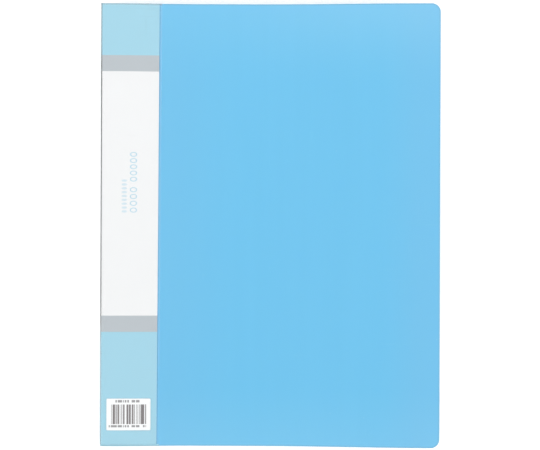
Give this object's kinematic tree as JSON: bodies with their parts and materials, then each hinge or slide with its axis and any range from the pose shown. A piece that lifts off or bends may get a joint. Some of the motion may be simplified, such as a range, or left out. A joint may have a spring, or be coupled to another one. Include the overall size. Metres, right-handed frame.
{
  "type": "display book",
  "caption": "Clear-pocket display book for A4 sheets: flexible plastic cover with two folds beside its spine, spine label in a clear sleeve, and pockets that turn with the covers.",
  "frame": {"origin": "under the middle of the closed book's cover, on what it lies on", "axes": "+X from the spine to the fore edge, +Y up the page, +Z out of the front cover"},
  "size_m": [0.235, 0.307, 0.0308],
  "materials": {
    "cover_plastic": "sky-blue polypropylene sheet with a fine satin grain, slightly translucent",
    "sleeve_film": "clear glossy film, welded along its edge and at its bottom end",
    "label_paper": "smooth printed card: light-blue ends, two grey bands and a white middle",
    "sticker_paper": null,
    "pocket_film": "thin clear film with a slight haze and a fine emboss"
  },
  "bodies": {
    "back": {"back_cover": "cover_plastic", "sleeve_back": "sleeve_film"},
    "spine": {"spine_panel": "cover_plastic", "cover_fold_back": "cover_plastic", "cover_fold_front": "cover_plastic", "sleeve_spine": "sleeve_film", "sleeve_fold_back": "sleeve_film", "sleeve_fold_front": "sleeve_film", "pocket_weld_bar": "pocket_film", "lower_pocket_margins": "pocket_film", "upper_pocket_margins": "pocket_film"},
    "front": {"front_cover": "cover_plastic", "sleeve_front": "sleeve_film", "barcode_sticker": "sticker_paper"},
    "label": {"label_spine": "label_paper", "label_fold_back": "label_paper", "label_fold_front": "label_paper"},
    "label_back_flap": {"label_back": "label_paper"},
    "label_front_flap": {"label_front": "label_paper"},
    "pocket_01": {"pocket_01": "pocket_film"},
    "pocket_02": {"pocket_02": "pocket_film"},
    "pocket_03": {"pocket_03": "pocket_film"},
    "pocket_04": {"pocket_04": "pocket_film"},
    "pocket_05": {"pocket_05": "pocket_film"},
    "pocket_06": {"pocket_06": "pocket_film"},
    "pocket_07": {"pocket_07": "pocket_film"},
    "pocket_08": {"pocket_08": "pocket_film"},
    "pocket_09": {"pocket_09": "pocket_film"},
    "pocket_10": {"pocket_10": "pocket_film"},
    "pocket_11": {"pocket_11": "pocket_film"},
    "pocket_12": {"pocket_12": "pocket_film"},
    "pocket_13": {"pocket_13": "pocket_film"},
    "pocket_14": {"pocket_14": "pocket_film"},
    "pocket_15": {"pocket_15": "pocket_film"},
    "pocket_16": {"pocket_16": "pocket_film"},
    "pocket_17": {"pocket_17": "pocket_film"},
    "pocket_18": {"pocket_18": "pocket_film"},
    "pocket_19": {"pocket_19": "pocket_film"},
    "pocket_20": {"pocket_20": "pocket_film"},
    "pocket_21": {"pocket_21": "pocket_film"},
    "pocket_22": {"pocket_22": "pocket_film"},
    "pocket_23": {"pocket_23": "pocket_film"},
    "pocket_24": {"pocket_24": "pocket_film"},
    "pocket_25": {"pocket_25": "pocket_film"},
    "pocket_26": {"pocket_26": "pocket_film"},
    "pocket_27": {"pocket_27": "pocket_film"},
    "pocket_28": {"pocket_28": "pocket_film"},
    "pocket_29": {"pocket_29": "pocket_film"},
    "pocket_30": {"pocket_30": "pocket_film"},
    "pocket_31": {"pocket_31": "pocket_film"},
    "pocket_32": {"pocket_32": "pocket_film"},
    "pocket_33": {"pocket_33": "pocket_film"},
    "pocket_34": {"pocket_34": "pocket_film"},
    "pocket_35": {"pocket_35": "pocket_film"},
    "pocket_36": {"pocket_36": "pocket_film"},
    "pocket_37": {"pocket_37": "pocket_film"},
    "pocket_38": {"pocket_38": "pocket_film"},
    "pocket_39": {"pocket_39": "pocket_film"},
    "pocket_40": {"pocket_40": "pocket_film"}
  },
  "joints": [
    {"name": "back_hinge", "type": "hinge", "parent": "back", "child": "spine", "pos_m": [-0.1162, 0, 0.0013], "axis": [0, -1, 0], "range_deg": [0, 90], "deforming": ["cover_fold_back", "sleeve_fold_back", "lower_pocket_margins"]},
    {"name": "front_hinge", "type": "hinge", "parent": "spine", "child": "front", "pos_m": [-0.1162, 0, 0.0253], "axis": [0, -1, 0], "range_deg": [0, 88.9], "deforming": ["cover_fold_front", "sleeve_fold_front", "upper_pocket_margins"]},
    {"name": "label_slide", "type": "slide", "parent": "spine", "child": "label", "axis": [0, 1, 0], "range_m": [0, 0.307]},
    {"name": "label_back_fold", "type": "hinge", "parent": "label", "child": "label_back_flap", "pos_m": [-0.1162, 0, 0.0013], "axis": [0, -1, 0], "range_deg": [-90, 0], "deforming": ["label_fold_back"]},
    {"name": "label_front_fold", "type": "hinge", "parent": "label", "child": "label_front_flap", "pos_m": [-0.1162, 0, 0.0253], "axis": [0, -1, 0], "range_deg": [0, 88.9], "deforming": ["label_fold_front"]},
    {"name": "pocket_01_turn", "type": "hinge", "parent": "spine", "child": "pocket_01", "pos_m": [-0.11522, 0, 0.00228], "axis": [0, -1, 0], "range_deg": [-90, 0]},
    {"name": "pocket_02_turn", "type": "hinge", "parent": "spine", "child": "pocket_02", "pos_m": [-0.11506, 0, 0.00262], "axis": [0, -1, 0], "range_deg": [-90, 0]},
    {"name": "pocket_03_turn", "type": "hinge", "parent": "spine", "child": "pocket_03", "pos_m": [-0.11489, 0, 0.00297], "axis": [0, -1, 0], "range_deg": [-90, 0]},
    {"name": "pocket_04_turn", "type": "hinge", "parent": "spine", "child": "pocket_04", "pos_m": [-0.11469, 0, 0.00335], "axis": [0, -1, 0], "range_deg": [-90, 0]},
    {"name": "pocket_05_turn", "type": "hinge", "parent": "spine", "child": "pocket_05", "pos_m": [-0.11443, 0, 0.00379], "axis": [0, -1, 0], "range_deg": [-90, 0]},
    {"name": "pocket_06_turn", "type": "hinge", "parent": "spine", "child": "pocket_06", "pos_m": [-0.11417, 0, 0.00423], "axis": [0, -1, 0], "range_deg": [-90, 0]},
    {"name": "pocket_07_turn", "type": "hinge", "parent": "spine", "child": "pocket_07", "pos_m": [-0.11391, 0, 0.00467], "axis": [0, -1, 0], "range_deg": [-90, 0]},
    {"name": "pocket_08_turn", "type": "hinge", "parent": "spine", "child": "pocket_08", "pos_m": [-0.11365, 0, 0.00511], "axis": [0, -1, 0], "range_deg": [-90, 0]},
    {"name": "pocket_09_turn", "type": "hinge", "parent": "spine", "child": "pocket_09", "pos_m": [-0.11339, 0, 0.00555], "axis": [0, -1, 0], "range_deg": [-90, 0]},
    {"name": "pocket_10_turn", "type": "hinge", "parent": "spine", "child": "pocket_10", "pos_m": [-0.11314, 0, 0.00599], "axis": [0, -1, 0], "range_deg": [-90, 0]},
    {"name": "pocket_11_turn", "type": "hinge", "parent": "spine", "child": "pocket_11", "pos_m": [-0.11288, 0, 0.00643], "axis": [0, -1, 0], "range_deg": [-90, 0]},
    {"name": "pocket_12_turn", "type": "hinge", "parent": "spine", "child": "pocket_12", "pos_m": [-0.11262, 0, 0.00687], "axis": [0, -1, 0], "range_deg": [-90, 0]},
    {"name": "pocket_13_turn", "type": "hinge", "parent": "spine", "child": "pocket_13", "pos_m": [-0.11236, 0, 0.0073], "axis": [0, -1, 0], "range_deg": [-90, 0]},
    {"name": "pocket_14_turn", "type": "hinge", "parent": "spine", "child": "pocket_14", "pos_m": [-0.1121, 0, 0.00774], "axis": [0, -1, 0], "range_deg": [-90, 0]},
    {"name": "pocket_15_turn", "type": "hinge", "parent": "spine", "child": "pocket_15", "pos_m": [-0.11184, 0, 0.00818], "axis": [0, -1, 0], "range_deg": [-90, 0]},
    {"name": "pocket_16_turn", "type": "hinge", "parent": "spine", "child": "pocket_16", "pos_m": [-0.11158, 0, 0.00862], "axis": [0, -1, 0], "range_deg": [-90, 0]},
    {"name": "pocket_17_turn", "type": "hinge", "parent": "spine", "child": "pocket_17", "pos_m": [-0.11132, 0, 0.00906], "axis": [0, -1, 0], "range_deg": [-90, 0]},
    {"name": "pocket_18_turn", "type": "hinge", "parent": "spine", "child": "pocket_18", "pos_m": [-0.11106, 0, 0.0095], "axis": [0, -1, 0], "range_deg": [-90, 0]},
    {"name": "pocket_19_turn", "type": "hinge", "parent": "spine", "child": "pocket_19", "pos_m": [-0.1108, 0, 0.00994], "axis": [0, -1, 0], "range_deg": [-90, 0]},
    {"name": "pocket_20_turn", "type": "hinge", "parent": "spine", "child": "pocket_20", "pos_m": [-0.11055, 0, 0.01038], "axis": [0, -1, 0], "range_deg": [-90, 0]},
    {"name": "pocket_21_turn", "type": "hinge", "parent": "spine", "child": "pocket_21", "pos_m": [-0.10819, 0, 0.01387], "axis": [0, -1, 0], "range_deg": [0, 88.9]},
    {"name": "pocket_22_turn", "type": "hinge", "parent": "spine", "child": "pocket_22", "pos_m": [-0.10845, 0, 0.0143], "axis": [0, -1, 0], "range_deg": [0, 88.9]},
    {"name": "pocket_23_turn", "type": "hinge", "parent": "spine", "child": "pocket_23", "pos_m": [-0.10871, 0, 0.01474], "axis": [0, -1, 0], "range_deg": [0, 88.9]},
    {"name": "pocket_24_turn", "type": "hinge", "parent": "spine", "child": "pocket_24", "pos_m": [-0.10897, 0, 0.01518], "axis": [0, -1, 0], "range_deg": [0, 88.9]},
    {"name": "pocket_25_turn", "type": "hinge", "parent": "spine", "child": "pocket_25", "pos_m": [-0.10923, 0, 0.01562], "axis": [0, -1, 0], "range_deg": [0, 88.9]},
    {"name": "pocket_26_turn", "type": "hinge", "parent": "spine", "child": "pocket_26", "pos_m": [-0.10949, 0, 0.01606], "axis": [0, -1, 0], "range_deg": [0, 88.9]},
    {"name": "pocket_27_turn", "type": "hinge", "parent": "spine", "child": "pocket_27", "pos_m": [-0.10974, 0, 0.0165], "axis": [0, -1, 0], "range_deg": [0, 88.9]},
    {"name": "pocket_28_turn", "type": "hinge", "parent": "spine", "child": "pocket_28", "pos_m": [-0.11, 0, 0.01694], "axis": [0, -1, 0], "range_deg": [0, 88.9]},
    {"name": "pocket_29_turn", "type": "hinge", "parent": "spine", "child": "pocket_29", "pos_m": [-0.11026, 0, 0.01738], "axis": [0, -1, 0], "range_deg": [0, 88.9]},
    {"name": "pocket_30_turn", "type": "hinge", "parent": "spine", "child": "pocket_30", "pos_m": [-0.11052, 0, 0.01782], "axis": [0, -1, 0], "range_deg": [0, 88.9]},
    {"name": "pocket_31_turn", "type": "hinge", "parent": "spine", "child": "pocket_31", "pos_m": [-0.11078, 0, 0.01826], "axis": [0, -1, 0], "range_deg": [0, 88.9]},
    {"name": "pocket_32_turn", "type": "hinge", "parent": "spine", "child": "pocket_32", "pos_m": [-0.11104, 0, 0.0187], "axis": [0, -1, 0], "range_deg": [0, 88.9]},
    {"name": "pocket_33_turn", "type": "hinge", "parent": "spine", "child": "pocket_33", "pos_m": [-0.1113, 0, 0.01914], "axis": [0, -1, 0], "range_deg": [0, 88.9]},
    {"name": "pocket_34_turn", "type": "hinge", "parent": "spine", "child": "pocket_34", "pos_m": [-0.11156, 0, 0.01958], "axis": [0, -1, 0], "range_deg": [0, 88.9]},
    {"name": "pocket_35_turn", "type": "hinge", "parent": "spine", "child": "pocket_35", "pos_m": [-0.11182, 0, 0.02002], "axis": [0, -1, 0], "range_deg": [0, 88.9]},
    {"name": "pocket_36_turn", "type": "hinge", "parent": "spine", "child": "pocket_36", "pos_m": [-0.11208, 0, 0.02046], "axis": [0, -1, 0], "range_deg": [0, 88.9]},
    {"name": "pocket_37_turn", "type": "hinge", "parent": "spine", "child": "pocket_37", "pos_m": [-0.11234, 0, 0.02089], "axis": [0, -1, 0], "range_deg": [0, 88.9]},
    {"name": "pocket_38_turn", "type": "hinge", "parent": "spine", "child": "pocket_38", "pos_m": [-0.11259, 0, 0.02133], "axis": [0, -1, 0], "range_deg": [0, 88.9]},
    {"name": "pocket_39_turn", "type": "hinge", "parent": "spine", "child": "pocket_39", "pos_m": [-0.11285, 0, 0.02177], "axis": [0, -1, 0], "range_deg": [0, 88.9]},
    {"name": "pocket_40_turn", "type": "hinge", "parent": "spine", "child": "pocket_40", "pos_m": [-0.11311, 0, 0.02221], "axis": [0, -1, 0], "range_deg": [0, 88.9]}
  ],
  "couplings": [
    {"joint": "label_back_fold", "follows": "back_hinge", "ratio": -1},
    {"joint": "label_front_fold", "follows": "front_hinge", "ratio": 1},
    {"joint": "pocket_01_turn", "follows": "back_hinge", "ratio": -1},
    {"joint": "pocket_02_turn", "follows": "back_hinge", "ratio": -1},
    {"joint": "pocket_03_turn", "follows": "back_hinge", "ratio": -1},
    {"joint": "pocket_04_turn", "follows": "back_hinge", "ratio": -1},
    {"joint": "pocket_05_turn", "follows": "back_hinge", "ratio": -1},
    {"joint": "pocket_06_turn", "follows": "back_hinge", "ratio": -1},
    {"joint": "pocket_07_turn", "follows": "back_hinge", "ratio": -1},
    {"joint": "pocket_08_turn", "follows": "back_hinge", "ratio": -1},
    {"joint": "pocket_09_turn", "follows": "back_hinge", "ratio": -1},
    {"joint": "pocket_10_turn", "follows": "back_hinge", "ratio": -1},
    {"joint": "pocket_11_turn", "follows": "back_hinge", "ratio": -1},
    {"joint": "pocket_12_turn", "follows": "back_hinge", "ratio": -1},
    {"joint": "pocket_13_turn", "follows": "back_hinge", "ratio": -1},
    {"joint": "pocket_14_turn", "follows": "back_hinge", "ratio": -1},
    {"joint": "pocket_15_turn", "follows": "back_hinge", "ratio": -1},
    {"joint": "pocket_16_turn", "follows": "back_hinge", "ratio": -1},
    {"joint": "pocket_17_turn", "follows": "back_hinge", "ratio": -1},
    {"joint": "pocket_18_turn", "follows": "back_hinge", "ratio": -1},
    {"joint": "pocket_19_turn", "follows": "back_hinge", "ratio": -1},
    {"joint": "pocket_20_turn", "follows": "back_hinge", "ratio": -1},
    {"joint": "pocket_21_turn", "follows": "front_hinge", "ratio": 1},
    {"joint": "pocket_22_turn", "follows": "front_hinge", "ratio": 1},
    {"joint": "pocket_23_turn", "follows": "front_hinge", "ratio": 1},
    {"joint": "pocket_24_turn", "follows": "front_hinge", "ratio": 1},
    {"joint": "pocket_25_turn", "follows": "front_hinge", "ratio": 1},
    {"joint": "pocket_26_turn", "follows": "front_hinge", "ratio": 1},
    {"joint": "pocket_27_turn", "follows": "front_hinge", "ratio": 1},
    {"joint": "pocket_28_turn", "follows": "front_hinge", "ratio": 1},
    {"joint": "pocket_29_turn", "follows": "front_hinge", "ratio": 1},
    {"joint": "pocket_30_turn", "follows": "front_hinge", "ratio": 1},
    {"joint": "pocket_31_turn", "follows": "front_hinge", "ratio": 1},
    {"joint": "pocket_32_turn", "follows": "front_hinge", "ratio": 1},
    {"joint": "pocket_33_turn", "follows": "front_hinge", "ratio": 1},
    {"joint": "pocket_34_turn", "follows": "front_hinge", "ratio": 1},
    {"joint": "pocket_35_turn", "follows": "front_hinge", "ratio": 1},
    {"joint": "pocket_36_turn", "follows": "front_hinge", "ratio": 1},
    {"joint": "pocket_37_turn", "follows": "front_hinge", "ratio": 1},
    {"joint": "pocket_38_turn", "follows": "front_hinge", "ratio": 1},
    {"joint": "pocket_39_turn", "follows": "front_hinge", "ratio": 1},
    {"joint": "pocket_40_turn", "follows": "front_hinge", "ratio": 1}
  ]
}
